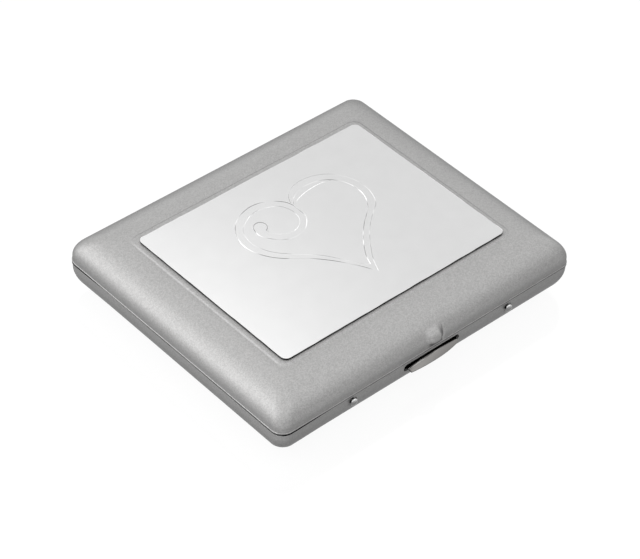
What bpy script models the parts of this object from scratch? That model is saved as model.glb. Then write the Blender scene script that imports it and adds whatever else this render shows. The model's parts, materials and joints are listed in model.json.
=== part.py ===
"""Pocket cigarette case: two pressed trays on a long knuckle hinge, with a spring catch at the front.

X runs along the front edge, Y from the catch back to the hinge, Z up. The origin is the centre of the
flat underside. Sizes are in metres.
"""

import math

import bmesh
import bpy
from mathutils import Matrix, Vector

MM = 0.001

# Clearances
REST_GAP = 0.3 * MM  # between pieces that rest on or are cut round each other
RIM_GAP = 0.15 * MM  # between the two trays' rims when the case is shut
FILM_GAP = 0.1 * MM  # above and below the thin adhesive film
PIN_PLAY = 0.1 * MM  # between the hinge pin and its knuckles
CUT_PAST = 0.6 * MM  # how far a cutter passes through the sheet that it cuts

# Pressed trays
CASE_WIDTH = 97.0 * MM
CASE_DEPTH = 82.0 * MM
SHEET = 0.6 * MM
BASE_HEIGHT = 9.4 * MM
LID_HEIGHT = 8.25 * MM
SKIRT_HEIGHT = 1.4 * MM  # upright strip next to the rim
BASE_EDGE_RUN = 8.0 * MM  # how far the rounded edge reaches in
RIM_CORNER_RADIUS = 3.5 * MM
FLAT_CORNER_RADIUS = 2.4 * MM  # where the rounded edge meets the flat

# Polished plate and its recess
PLATE_SIDE_INSET = 12.1 * MM  # from the case's left and right sides
PLATE_FRONT_INSET = 13.05 * MM  # from its front and rear
PLATE_THICKNESS = 0.5 * MM
PLATE_CORNER_RADIUS = 1.7 * MM
PLATE_EDGE_BEVEL = 0.08 * MM
LEAST_CORNER_SHARE = 0.5  # of the plate's corner radius, kept by outlines well inside it
FILM_THICKNESS = 0.1 * MM
FILM_INSET = 1.0 * MM
RECESS_DEPTH = 0.6 * MM
RECESS_MARGIN = 1.25 * MM  # floor that shows round the plate
RECESS_SLOPE = 0.3 * MM
RECESS_ROUNDING = 0.06 * MM  # how far the slope's middle stands above a straight line
LID_BORDER = 0.1 * MM  # least flat between the recess and the lid's rounded edge

# Hinge
HINGE_LENGTH = 64.0 * MM
HINGE_OFFSET = 0.25 * MM  # axis behind the rear wall's face
KNUCKLE_COUNT = 7
KNUCKLE_RADIUS = 0.95 * MM
KNUCKLE_STEP = 0.06 * MM  # from the roll's outside down to the strip that it is rolled from
PIN_RADIUS = 0.5 * MM
PIN_BEVEL = 0.15 * MM
LEAF_SHEET = 0.45 * MM
LEAF_HEIGHT = 2.5 * MM

# Catch
SLOT_WIDTH = 18.6 * MM  # round-ended slot in the base's front wall
SLOT_HEIGHT = 2.0 * MM
SLOT_DROP = 0.35 * MM  # the slot's top edge below the base's rim
LIP_SHEET = 0.45 * MM
LIP_REACH = 1.75 * MM  # past the front wall at the middle
LIP_END_REACH = 1.05 * MM  # past the front wall at the lip's two ends
LIP_END_GAP = 0.8 * MM  # between the lip's ends and the slot's
LIP_CROWN = 0.4 * MM  # how far the lip's middle arches above its ends
LIP_DROOP = 0.7 * MM  # from the wall to the lip's edge, at the middle
LIP_END_DROOP = 0.1 * MM
LIP_DROOP_POWER = 1.5  # 1 droops evenly from the wall, more droops towards the lip's edge
LIP_PROFILE = ((0.0, 0.0), (0.35, 0.0), (0.7, 0.0), (0.93, 0.08), (1.0, 0.35))  # (share of the reach, of the sheet)
CATCH_TRAVEL = 1.1 * MM  # how far the lip is pressed in
RELEASE_PLAY = 0.6 * MM  # travel that is left once the hook is free
SPRING_SHEET = 0.4 * MM
SPRING_HEIGHT = 2.4 * MM
SPRING_BOW = 2.2 * MM  # how far the middle stands in from the ends
RIVET_SPAN = 51.6 * MM
RIVET_DROP = 1.8 * MM  # below the base's rim
RIVET_HEAD_RADIUS = 1.1 * MM
RIVET_HEAD_HEIGHT = 0.6 * MM
RIVET_SHANK_RADIUS = 0.5 * MM
RIVET_TAIL_RADIUS = 1.0 * MM
RIVET_TAIL_HEIGHT = 0.35 * MM
CATCH_PLATE_WIDTH = 15.0 * MM
CATCH_PLATE_SHEET = 0.5 * MM
CATCH_PLATE_HEIGHT = 2.4 * MM  # below the lip
HOOK_WIDTH = 8.0 * MM
HOOK_SHEET = 0.5 * MM
SMALL_RIVET_RADIUS = 0.8 * MM
SMALL_RIVET_SHANK_RADIUS = 0.4 * MM
SMALL_RIVET_HEIGHT = 0.4 * MM
SMALL_RIVET_SPAN = 9.0 * MM
KEEPER_WIDTH = 11.0 * MM
KEEPER_SHEET = 0.4 * MM
KEEPER_HEIGHT = 2.2 * MM

# Thumb rest pressed out of the lid above the catch
THUMB_REST_WIDTH = 5.6 * MM
THUMB_REST_LENGTH = 5.4 * MM
THUMB_REST_RISE = 0.7 * MM
THUMB_REST_HEIGHT = 3.7 * MM  # its middle above the lid's rim
THUMB_REST_TILT = math.radians(12.0)  # steeper than the slope it stands on

# Elastic bands over the cigarettes and the brackets that hold their ends
BASE_BAND_X = -18.0 * MM
LID_BAND_X = 18.0 * MM
BAND_WIDTH = 10.0 * MM
BAND_THICKNESS = 0.7 * MM
BRACKET_SHEET = 0.45 * MM
BRACKET_WIDTH = 13.0 * MM
BRACKET_INSET = 4.4 * MM  # from the case's side to the bracket's riser
BRACKET_RISE = 3.4 * MM
BRACKET_SLOT_DEPTH = 2.3 * MM  # from the riser's foot to the slot for the band

# Facets
CORNER_STEPS = 7
EDGE_STEPS = 12
ROUND_SIDES = 20
SMALL_ROUND_SIDES = 12
DOME_STEPS = 4
SPRING_STEPS = 28
THUMB_REST_RINGS = 12
LIP_STEPS = 20
SLOT_END_STEPS = 8
BRACKET_FOOT_STEPS = 4

# Worked out from the sizes above
PLATE_WIDTH = CASE_WIDTH - 2 * PLATE_SIDE_INSET
PLATE_DEPTH = CASE_DEPTH - 2 * PLATE_FRONT_INSET
RECESS_OUTSET = RECESS_MARGIN + RECESS_SLOPE
LID_EDGE_RUN = min(PLATE_SIDE_INSET, PLATE_FRONT_INSET) - RECESS_OUTSET - LID_BORDER
BASE_RIM = BASE_HEIGHT
LID_RIM = BASE_RIM + RIM_GAP
PARTING = (BASE_RIM + LID_RIM) / 2
LID_TOP = LID_RIM + LID_HEIGHT
FRONT = -CASE_DEPTH / 2
REAR = CASE_DEPTH / 2
HINGE_Y = REAR + HINGE_OFFSET
BORE_RADIUS = PIN_RADIUS + PIN_PLAY
LEAF_FACE = REAR - SHEET - REST_GAP
KNUCKLE_LENGTH = (HINGE_LENGTH - (KNUCKLE_COUNT - 1) * REST_GAP) / KNUCKLE_COUNT
SLOT_LOW = BASE_RIM - SLOT_DROP - SLOT_HEIGHT
LIP_LOW = SLOT_LOW + REST_GAP  # underside of the lip's ends, where it passes the wall
LIP_HIGH = LIP_LOW + LIP_SHEET
HOOK_GRIP = CATCH_TRAVEL - RELEASE_PLAY  # overlap of the hook's nose and the keeper's ledge

SATIN = (0.42, 0.42, 0.41)
NICKEL = (0.62, 0.61, 0.59)
MIRROR = (0.86, 0.86, 0.87)
STEEL = (0.50, 0.50, 0.50)
BAND_GREY = (0.10, 0.10, 0.11)
FILM_COLOUR = (0.80, 0.78, 0.70)


def clear_scene():
    for item in list(bpy.data.objects):
        bpy.data.objects.remove(item, do_unlink=True)


def make_material(name, colour, roughness, metallic):
    material = bpy.data.materials.new(name)
    material.use_nodes = True
    shader = material.node_tree.nodes["Principled BSDF"]
    shader.inputs["Base Color"].default_value = (*colour, 1.0)
    shader.inputs["Roughness"].default_value = roughness
    shader.inputs["Metallic"].default_value = metallic
    return material


def make_object(name, bm, colour, roughness=0.35, metallic=1.0, smooth_angle=35.0):
    """A named object from a bmesh, with outward faces and its own material."""
    bmesh.ops.recalc_face_normals(bm, faces=bm.faces)
    mesh = bpy.data.meshes.new(name)
    bm.to_mesh(mesh)
    bm.free()
    mesh.shade_smooth()
    mesh.set_sharp_from_angle(angle=math.radians(smooth_angle))
    item = bpy.data.objects.new(name, mesh)
    bpy.context.scene.collection.objects.link(item)
    mesh.materials.append(make_material(name, colour, roughness, metallic))
    return item


def make_tool(name, bm):
    """A hidden shape that a Boolean modifier cuts with or adds."""
    bmesh.ops.recalc_face_normals(bm, faces=bm.faces)
    mesh = bpy.data.meshes.new(name)
    bm.to_mesh(mesh)
    bm.free()
    item = bpy.data.objects.new(name, mesh)
    item.hide_render = True
    item.display_type = "WIRE"
    bpy.context.scene.collection.objects.link(item)
    return item


def combine(item, tool, operation="DIFFERENCE"):
    """Adds a Boolean modifier, and lets the tool follow the object that it shapes."""
    modifier = item.modifiers.new(tool.name, "BOOLEAN")
    modifier.operation = operation
    modifier.solver = "EXACT"
    modifier.object = tool
    tool.parent = item


def make_pivot(name, location, items):
    """An empty on a joint's axis that carries the pieces of one moving body."""
    pivot = bpy.data.objects.new(name, None)
    pivot.location = location
    bpy.context.scene.collection.objects.link(pivot)
    for item in items:
        item.parent = pivot
        item.matrix_parent_inverse = Matrix.Translation(-Vector(location))


def rounded_ring(half_x, half_y, radius, z):
    """Points round a rectangle with round corners, in the same order and number for every size."""
    points = []
    for corner in range(4):
        sign_x = (1, -1, -1, 1)[corner]
        sign_y = (1, 1, -1, -1)[corner]
        for step in range(CORNER_STEPS + 1):
            angle = math.pi / 2 * (corner + step / CORNER_STEPS)
            x = sign_x * (half_x - radius) + radius * math.cos(angle)
            y = sign_y * (half_y - radius) + radius * math.sin(angle)
            points.append(Vector((x, y, z)))
    return points


def loft(rings):
    """A closed solid through rings of equal length, with both ends filled."""
    bm = bmesh.new()
    rows = [[bm.verts.new(point) for point in ring] for ring in rings]
    count = len(rows[0])
    for low, high in zip(rows, rows[1:]):
        for i in range(count):
            j = (i + 1) % count
            bm.faces.new((low[i], low[j], high[j], high[i]))
    bm.faces.new(rows[0])
    bm.faces.new(list(reversed(rows[-1])))
    return bm


def extrude_outline(outline, start, end, axis="X"):
    """A prism from a flat outline: (y, z) points along X, or (x, y) points along Z."""
    bm = bmesh.new()
    if axis == "X":
        points = [Vector((start, a, b)) for a, b in outline]
        move = Vector((end - start, 0, 0))
    else:
        points = [Vector((a, b, start)) for a, b in outline]
        move = Vector((0, 0, end - start))
    face = bm.faces.new([bm.verts.new(point) for point in points])
    grown = bmesh.ops.extrude_face_region(bm, geom=[face])
    moved = [part for part in grown["geom"] if isinstance(part, bmesh.types.BMVert)]
    bmesh.ops.translate(bm, verts=moved, vec=move)
    return bm


def box(low, high):
    bm = bmesh.new()
    bmesh.ops.create_cube(bm, size=1.0)
    low = Vector(low)
    high = Vector(high)
    bmesh.ops.scale(bm, vec=high - low, verts=bm.verts)
    bmesh.ops.translate(bm, vec=(low + high) / 2, verts=bm.verts)
    return bm


def turned(profile, centre, direction, sides=ROUND_SIDES):
    """A solid turned from (radius, height) points about an axis; the first and last radius may be zero."""
    bm = bmesh.new()
    rows = []
    for radius, height in profile:
        if radius == 0.0:
            rows.append([bm.verts.new((0, 0, height))])
            continue
        row = []
        for i in range(sides):
            angle = 2 * math.pi * i / sides
            row.append(bm.verts.new((radius * math.cos(angle), radius * math.sin(angle), height)))
        rows.append(row)
    for low, high in zip(rows, rows[1:]):
        for i in range(sides):
            j = (i + 1) % sides
            if len(low) == 1:
                bm.faces.new((low[0], high[j], high[i]))
            elif len(high) == 1:
                bm.faces.new((low[i], low[j], high[0]))
            else:
                bm.faces.new((low[i], low[j], high[j], high[i]))
    if len(rows[0]) > 1:
        bm.faces.new(list(reversed(rows[0])))
    if len(rows[-1]) > 1:
        bm.faces.new(rows[-1])
    turn = Vector((0, 0, 1)).rotation_difference(Vector(direction)).to_matrix().to_4x4()
    bmesh.ops.transform(bm, matrix=Matrix.Translation(Vector(centre)) @ turn, verts=bm.verts)
    return bm


def edge_curve(run, height, start, steps=EDGE_STEPS):
    """A tray's section from its rim: (inset, distance from the rim) up the skirt and over the round edge."""
    points = [(start, 0.0)]
    for step in range(steps + 1):
        angle = math.pi / 2 * step / steps
        inset = start + (run - start) * (1 - math.cos(angle))
        points.append((inset, SKIRT_HEIGHT + (height - SKIRT_HEIGHT) * math.sin(angle)))
    return points


def inner_height_at(inset, run, height):
    """Distance from the rim to a tray's inner surface, at an inset from the case's side."""
    reach = min(max((inset - SHEET) / (run - SHEET), 0.0), 1.0)
    angle = math.acos(1 - reach)
    return SKIRT_HEIGHT + (height - SHEET - SKIRT_HEIGHT) * math.sin(angle)


def corner_radius_at(inset, run):
    return RIM_CORNER_RADIUS + (FLAT_CORNER_RADIUS - RIM_CORNER_RADIUS) * inset / run


def tray_rings(run, section, rim, direction):
    """One ring for each point of a section, from the rim inwards."""
    rings = []
    for inset, distance in section:
        radius = corner_radius_at(inset, run)
        z = rim + direction * distance
        rings.append(rounded_ring(CASE_WIDTH / 2 - inset, CASE_DEPTH / 2 - inset, radius, z))
    return rings


def plate_ring(outset, z):
    """The plate's outline grown by an outset; a ring well inside it keeps a share of the corner's radius."""
    radius = PLATE_CORNER_RADIUS + max(outset, -PLATE_CORNER_RADIUS * LEAST_CORNER_SHARE)
    return rounded_ring(PLATE_WIDTH / 2 + outset, PLATE_DEPTH / 2 + outset, radius, z)


def catch_slot():
    """Cutter for the round-ended slot that the lip comes out through."""
    radius = SLOT_HEIGHT / 2
    outline = []
    for side in (1, -1):
        for step in range(SLOT_END_STEPS + 1):
            angle = math.pi * (step / SLOT_END_STEPS - 0.5)
            x = side * (SLOT_WIDTH / 2 - radius + radius * math.cos(angle))
            outline.append((x, SLOT_LOW + radius + side * radius * math.sin(angle)))
    low = FRONT - CUT_PAST
    high = FRONT + SHEET + CUT_PAST
    rings = [[Vector((x, y, z)) for x, z in outline] for y in (low, high)]
    return make_tool("catch_slot", loft(rings))


def hinge_notch(name, low_z, high_z):
    half = HINGE_LENGTH / 2 + REST_GAP
    low = (-half, REAR - SHEET - CUT_PAST, low_z)
    return make_tool(name, box(low, (half, REAR + CUT_PAST, high_z)))


def rivet_holes(name, y_low, y_high):
    """Both holes of the catch rivets, as one cutter for the wall or for the spring."""
    z = BASE_RIM - RIVET_DROP
    radius = RIVET_SHANK_RADIUS + REST_GAP
    bm = bmesh.new()
    for side in (-1, 1):
        profile = [(radius, 0.0), (radius, y_high - y_low)]
        hole = turned(profile, (side * RIVET_SPAN / 2, y_low, z), (0, 1, 0))
        mesh = bpy.data.meshes.new(name)
        hole.to_mesh(mesh)
        hole.free()
        bm.from_mesh(mesh)
    return make_tool(name, bm)


def make_base_shell():
    outer = tray_rings(BASE_EDGE_RUN, edge_curve(BASE_EDGE_RUN, BASE_HEIGHT, 0.0), BASE_RIM, -1)
    inner = tray_rings(BASE_EDGE_RUN, edge_curve(BASE_EDGE_RUN, BASE_HEIGHT - SHEET, SHEET), BASE_RIM, -1)
    item = make_object("base_shell", loft(list(reversed(outer)) + inner), SATIN, 0.38)
    clear = KNUCKLE_RADIUS + REST_GAP
    combine(item, catch_slot())
    combine(item, hinge_notch("base_hinge_notch", PARTING - clear, LID_RIM + CUT_PAST))
    combine(item, rivet_holes("wall_rivet_holes", FRONT - CUT_PAST, FRONT + SHEET + CUT_PAST))
    return item


def thumb_rest():
    """A blister on the lid's front slope: a flattened ball leaning with the slope, deepest at its lower end."""
    run = LID_EDGE_RUN
    rise = LID_HEIGHT - SKIRT_HEIGHT
    angle = math.asin(min((THUMB_REST_HEIGHT - SKIRT_HEIGHT) / rise, 1.0))
    y = FRONT + run * (1 - math.cos(angle))
    z = LID_RIM + THUMB_REST_HEIGHT
    slope = math.atan2(rise * math.cos(angle), run * math.sin(angle))
    bm = bmesh.new()
    bmesh.ops.create_uvsphere(bm, u_segments=2 * THUMB_REST_RINGS, v_segments=THUMB_REST_RINGS, radius=0.5)
    size = (THUMB_REST_WIDTH, THUMB_REST_LENGTH, 2 * THUMB_REST_RISE)
    bmesh.ops.scale(bm, vec=size, verts=bm.verts)
    turn = Matrix.Rotation(slope + THUMB_REST_TILT, 4, "X")
    bmesh.ops.transform(bm, matrix=Matrix.Translation((0, y, z)) @ turn, verts=bm.verts)
    return make_tool("thumb_rest", bm)


def make_lid_shell():
    floor = LID_TOP - RECESS_DEPTH
    outer = tray_rings(LID_EDGE_RUN, edge_curve(LID_EDGE_RUN, LID_HEIGHT, 0.0), LID_RIM, 1)
    inner = tray_rings(LID_EDGE_RUN, edge_curve(LID_EDGE_RUN, LID_HEIGHT - SHEET, SHEET), LID_RIM, 1)
    top = [
        plate_ring(RECESS_MARGIN, floor),
        plate_ring(RECESS_MARGIN + RECESS_SLOPE / 2, floor + RECESS_DEPTH / 2 + RECESS_ROUNDING),
        plate_ring(RECESS_OUTSET, LID_TOP),
    ]
    under = [
        plate_ring(RECESS_OUTSET + LID_BORDER / 2, LID_TOP - SHEET),
        plate_ring(RECESS_MARGIN + SHEET / 2, floor - SHEET),
    ]
    item = make_object("lid_shell", loft(top + list(reversed(outer)) + inner + under), SATIN, 0.38)
    clear = KNUCKLE_RADIUS + REST_GAP
    combine(item, hinge_notch("lid_hinge_notch", BASE_RIM - CUT_PAST, PARTING + clear))
    combine(item, thumb_rest(), "UNION")
    return item


def make_plate():
    low = LID_TOP - RECESS_DEPTH + 2 * FILM_GAP + FILM_THICKNESS
    high = low + PLATE_THICKNESS
    bevel = PLATE_EDGE_BEVEL
    rings = [
        plate_ring(-bevel, low),
        plate_ring(0.0, low + bevel),
        plate_ring(0.0, high - bevel),
        plate_ring(-bevel, high),
    ]
    plate = make_object("lid_plate", loft(rings), MIRROR, 0.06)
    film_low = LID_TOP - RECESS_DEPTH + FILM_GAP
    film = [plate_ring(-FILM_INSET, film_low), plate_ring(-FILM_INSET, film_low + FILM_THICKNESS)]
    return [plate, make_object("plate_adhesive", loft(film), FILM_COLOUR, 0.6, 0.0)]


def knuckle_span(index):
    start = -HINGE_LENGTH / 2 + index * (KNUCKLE_LENGTH + REST_GAP)
    return start, start + KNUCKLE_LENGTH


def hinge_leaf(name, direction, indices):
    """A flat strip inside the rear wall with its rolled knuckles; direction is -1 for the base's leaf."""
    edge = PARTING + direction * REST_GAP
    half = HINGE_LENGTH / 2
    inner = LEAF_FACE - LEAF_SHEET
    far = edge + direction * LEAF_HEIGHT
    strip = box((-half, inner, min(edge, far)), (half, LEAF_FACE, max(edge, far)))
    item = make_object(name, strip, STEEL, 0.3)
    arm_far = PARTING + direction * (KNUCKLE_RADIUS - KNUCKLE_STEP)
    arm_near = arm_far - direction * LEAF_SHEET
    for index in indices:
        start, end = knuckle_span(index)
        barrel = turned([(KNUCKLE_RADIUS, 0.0), (KNUCKLE_RADIUS, end - start)], (start, HINGE_Y, PARTING), (1, 0, 0))
        roll = make_tool(f"{name}_barrel_{index}", barrel)
        low = (start, inner + LEAF_SHEET / 2, min(arm_far, arm_near))
        arm = make_tool(f"{name}_arm_{index}", box(low, (end, HINGE_Y, max(arm_far, arm_near))))
        combine(roll, arm, "UNION")
        combine(item, roll, "UNION")
    bore = [(BORE_RADIUS, 0.0), (BORE_RADIUS, HINGE_LENGTH + 2 * CUT_PAST)]
    hole = turned(bore, (-half - CUT_PAST, HINGE_Y, PARTING), (1, 0, 0))
    combine(item, make_tool(f"{name}_bore", hole))
    return item


def make_hinge():
    """Both leaves and their pin; returns the leaf that turns with the lid."""
    hinge_leaf("base_hinge_leaf", -1, range(0, KNUCKLE_COUNT, 2))
    profile = [
        (PIN_RADIUS - PIN_BEVEL, 0.0),
        (PIN_RADIUS, PIN_BEVEL),
        (PIN_RADIUS, HINGE_LENGTH - PIN_BEVEL),
        (PIN_RADIUS - PIN_BEVEL, HINGE_LENGTH),
    ]
    pin = turned(profile, (-HINGE_LENGTH / 2, HINGE_Y, PARTING), (1, 0, 0))
    make_object("hinge_pin", pin, STEEL, 0.25)
    return hinge_leaf("lid_hinge_leaf", 1, range(1, KNUCKLE_COUNT, 2))


def spring_face(x):
    """The spring's outer face: against the wall at the rivets, and joggled in behind the thumbpiece."""
    ends = FRONT + SHEET + REST_GAP
    flat = SLOT_WIDTH / 2
    bend = RIVET_SPAN / 2 - 2 * RIVET_HEAD_RADIUS - flat
    reach = min(max((abs(x) - flat) / bend, 0.0), 1.0)
    return ends + SPRING_BOW * (1 + math.cos(math.pi * reach)) / 2


def make_catch_spring():
    half = RIVET_SPAN / 2 + 2 * RIVET_SHANK_RADIUS + REST_GAP
    xs = [-half + 2 * half * i / SPRING_STEPS for i in range(SPRING_STEPS + 1)]
    front = [(x, spring_face(x)) for x in xs]
    back = [(x, spring_face(x) + SPRING_SHEET) for x in reversed(xs)]
    middle = BASE_RIM - RIVET_DROP
    low = middle - SPRING_HEIGHT / 2
    strip = extrude_outline(front + back, low, low + SPRING_HEIGHT, "Z")
    item = make_object("catch_spring", strip, STEEL, 0.25)
    ends = FRONT + SHEET + REST_GAP
    combine(item, rivet_holes("spring_rivet_holes", ends - CUT_PAST, ends + SPRING_SHEET + CUT_PAST))
    for side, name in ((-1, "spring_hole_left"), (1, "spring_hole_right")):
        x = side * SMALL_RIVET_SPAN / 2
        radius = SMALL_RIVET_SHANK_RADIUS + REST_GAP
        profile = [(radius, 0.0), (radius, SPRING_SHEET + 2 * CUT_PAST)]
        start = (x, spring_face(x) - CUT_PAST, middle)
        hole = turned(profile, start, (0, 1, 0), SMALL_ROUND_SIDES)
        combine(item, make_tool(name, hole))
    return item


def make_catch_rivets():
    """A domed head outside the wall, a shank through wall and spring, and a flat tail behind them."""
    z = BASE_RIM - RIVET_DROP
    grip = REST_GAP + SHEET + REST_GAP + SPRING_SHEET + REST_GAP
    profile = [(0.0, -RIVET_HEAD_HEIGHT)]
    for step in range(1, DOME_STEPS + 1):
        angle = math.pi / 2 * step / DOME_STEPS
        profile.append((RIVET_HEAD_RADIUS * math.sin(angle), -RIVET_HEAD_HEIGHT * math.cos(angle)))
    profile += [(RIVET_SHANK_RADIUS, 0.0), (RIVET_SHANK_RADIUS, grip)]
    profile += [(RIVET_TAIL_RADIUS, grip), (RIVET_TAIL_RADIUS, grip + RIVET_TAIL_HEIGHT)]
    for side, name in ((-1, "catch_rivet_left"), (1, "catch_rivet_right")):
        centre = (side * RIVET_SPAN / 2, FRONT - REST_GAP, z)
        make_object(name, turned(profile, centre, (0, 1, 0)), NICKEL, 0.3)


def catch_plate_face():
    """Outer face of the thumbpiece's plate, which lies on the outside of the spring's middle."""
    return spring_face(SMALL_RIVET_SPAN / 2) - REST_GAP - CATCH_PLATE_SHEET


def lip_section(x, half):
    """The lip's outline at one x: its underside outwards, its thin round edge, and its top back in."""
    middle = 1 - (x / half) ** 2
    reach = LIP_END_REACH + (LIP_REACH - LIP_END_REACH) * middle
    droop = LIP_END_DROOP + (LIP_DROOP - LIP_END_DROOP) * middle
    low = LIP_LOW + LIP_CROWN * middle
    under = []
    over = []
    for share, thinning in LIP_PROFILE:
        y = FRONT - reach * share
        z = low - droop * share ** LIP_DROOP_POWER
        under.append(Vector((x, y, z + LIP_SHEET * thinning)))
        over.append(Vector((x, y, z + LIP_SHEET * (1 - thinning))))
    back = catch_plate_face() + CATCH_PLATE_SHEET
    return [Vector((x, back, low))] + under + list(reversed(over)) + [Vector((x, back, low + LIP_SHEET))]


def make_thumbpiece():
    """One stamping: a half-moon lip out through the slot, a plate behind the wall and a hook up into the lid."""
    face = catch_plate_face()
    back = face + CATCH_PLATE_SHEET
    half = SLOT_WIDTH / 2 - LIP_END_GAP
    sections = [lip_section(-half + 2 * half * i / LIP_STEPS, half) for i in range(LIP_STEPS + 1)]
    item = make_object("catch_thumbpiece", loft(sections), NICKEL, 0.28)

    plate_half = CATCH_PLATE_WIDTH / 2
    plate = box((-plate_half, face, LIP_HIGH - CATCH_PLATE_HEIGHT), (plate_half, back, LIP_HIGH))
    combine(item, make_tool("thumbpiece_plate", plate), "UNION")
    nose_low = keeper_ledge_top() + REST_GAP
    nose_tip = keeper_ledge_tip() - HOOK_GRIP
    outline = [
        (face, LIP_LOW),
        (back, LIP_LOW),
        (back, nose_low + HOOK_SHEET),
        (nose_tip, nose_low + HOOK_SHEET / 2),
        (nose_tip, nose_low),
        (face, nose_low),
    ]
    hook = extrude_outline(outline, -HOOK_WIDTH / 2, HOOK_WIDTH / 2)
    combine(item, make_tool("thumbpiece_hook", hook), "UNION")
    return item


def keeper_ledge_tip():
    """The keeper's ledge ends just short of the hook's upright."""
    return catch_plate_face() - REST_GAP


def keeper_ledge_top():
    return LID_RIM + REST_GAP + KEEPER_SHEET


def make_keeper():
    """An angle spot-welded inside the lid's front wall; the hook grips its ledge."""
    outer = FRONT + SHEET + REST_GAP
    low = LID_RIM + REST_GAP
    outline = [
        (outer, low),
        (keeper_ledge_tip(), low),
        (keeper_ledge_tip(), keeper_ledge_top()),
        (outer + KEEPER_SHEET, keeper_ledge_top()),
        (outer + KEEPER_SHEET, low + KEEPER_HEIGHT),
        (outer, low + KEEPER_HEIGHT),
    ]
    return make_object("lid_keeper", extrude_outline(outline, -KEEPER_WIDTH / 2, KEEPER_WIDTH / 2), STEEL, 0.3)


def bracket_outline(run, height, rim, direction, side):
    """A strap bracket's section: a foot that follows the tray's round edge, and a riser towards the rim."""
    near = BRACKET_INSET
    far = run - BRACKET_SHEET
    wall = side * CASE_DEPTH / 2
    foot_low = []
    foot_high = []
    for step in range(BRACKET_FOOT_STEPS + 1):
        inset = near + (far - near) * step / BRACKET_FOOT_STEPS
        depth = inner_height_at(inset - REST_GAP, run, height) - REST_GAP
        foot_low.append((wall - side * inset, rim + direction * depth))
        foot_high.append((wall - side * inset, rim + direction * (depth - BRACKET_SHEET)))
    riser_root = inner_height_at(near - REST_GAP, run, height) - REST_GAP
    riser_end = riser_root - BRACKET_RISE
    inner_root = inner_height_at(near + BRACKET_SHEET - REST_GAP, run, height) - REST_GAP - BRACKET_SHEET
    outline = foot_low
    outline += list(reversed(foot_high[1:]))
    outline.append((wall - side * (near + BRACKET_SHEET), rim + direction * inner_root))
    outline.append((wall - side * (near + BRACKET_SHEET), rim + direction * riser_end))
    outline.append((wall - side * near, rim + direction * riser_end))
    return outline, rim + direction * (riser_root - BRACKET_SLOT_DEPTH)


def make_band(prefix, x, run, height, rim, direction):
    """A flat elastic band from front to back, with a slotted bracket at each end."""
    pieces = []
    for side, place in ((-1, "front"), (1, "rear")):
        outline, band_z = bracket_outline(run, height, rim, direction, side)
        start = x - BRACKET_WIDTH / 2
        foot = extrude_outline(outline, start, start + BRACKET_WIDTH)
        item = make_object(f"{prefix}_band_bracket_{place}", foot, STEEL)
        slot = BAND_THICKNESS / 2 + REST_GAP
        reach = side * (CASE_DEPTH / 2 - BRACKET_INSET)
        low = (x - BAND_WIDTH / 2 - REST_GAP, reach - BRACKET_SHEET - CUT_PAST, band_z - slot)
        high = (x + BAND_WIDTH / 2 + REST_GAP, reach + BRACKET_SHEET + CUT_PAST, band_z + slot)
        combine(item, make_tool(f"{prefix}_slot_{place}", box(low, high)))
        pieces.append(item)
    end = CASE_DEPTH / 2 - BRACKET_INSET + BAND_THICKNESS
    half = BAND_THICKNESS / 2
    low = (x - BAND_WIDTH / 2, -end, band_z - half)
    strap = box(low, (x + BAND_WIDTH / 2, end, band_z + half))
    pieces.append(make_object(f"{prefix}_band", strap, BAND_GREY, 0.8, 0.0))
    return pieces


def make_small_rivets():
    """Rivets that join the thumbpiece's plate to the spring."""
    rivets = []
    z = BASE_RIM - RIVET_DROP
    grip = REST_GAP + SPRING_SHEET + REST_GAP
    shank = SMALL_RIVET_SHANK_RADIUS
    for side, name in ((-1, "thumbpiece_rivet_left"), (1, "thumbpiece_rivet_right")):
        start = catch_plate_face() + CATCH_PLATE_SHEET + REST_GAP
        profile = [
            (shank, 0.0),
            (shank, grip),
            (SMALL_RIVET_RADIUS, grip),
            (SMALL_RIVET_RADIUS, grip + SMALL_RIVET_HEIGHT / 2),
            (shank, grip + SMALL_RIVET_HEIGHT),
        ]
        centre = (side * SMALL_RIVET_SPAN / 2, start, z)
        rivet = turned(profile, centre, (0, 1, 0), SMALL_ROUND_SIDES)
        rivets.append(make_object(name, rivet, NICKEL, 0.3))
    return rivets


def main():
    clear_scene()
    make_base_shell()
    make_catch_spring()
    make_catch_rivets()
    make_band("base", BASE_BAND_X, BASE_EDGE_RUN, BASE_HEIGHT, BASE_RIM, -1)
    lid = [make_lid_shell(), make_keeper(), make_hinge()]
    lid += make_plate()
    lid += make_band("lid", LID_BAND_X, LID_EDGE_RUN, LID_HEIGHT, LID_RIM, 1)
    make_pivot("lid_pivot", (0, HINGE_Y, PARTING), lid)
    catch = [make_thumbpiece()] + make_small_rivets()
    make_pivot("catch_slide", (0, FRONT, PARTING), catch)


main()
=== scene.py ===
import json
import math
import bmesh
import bpy
from mathutils import Matrix, Vector

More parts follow.
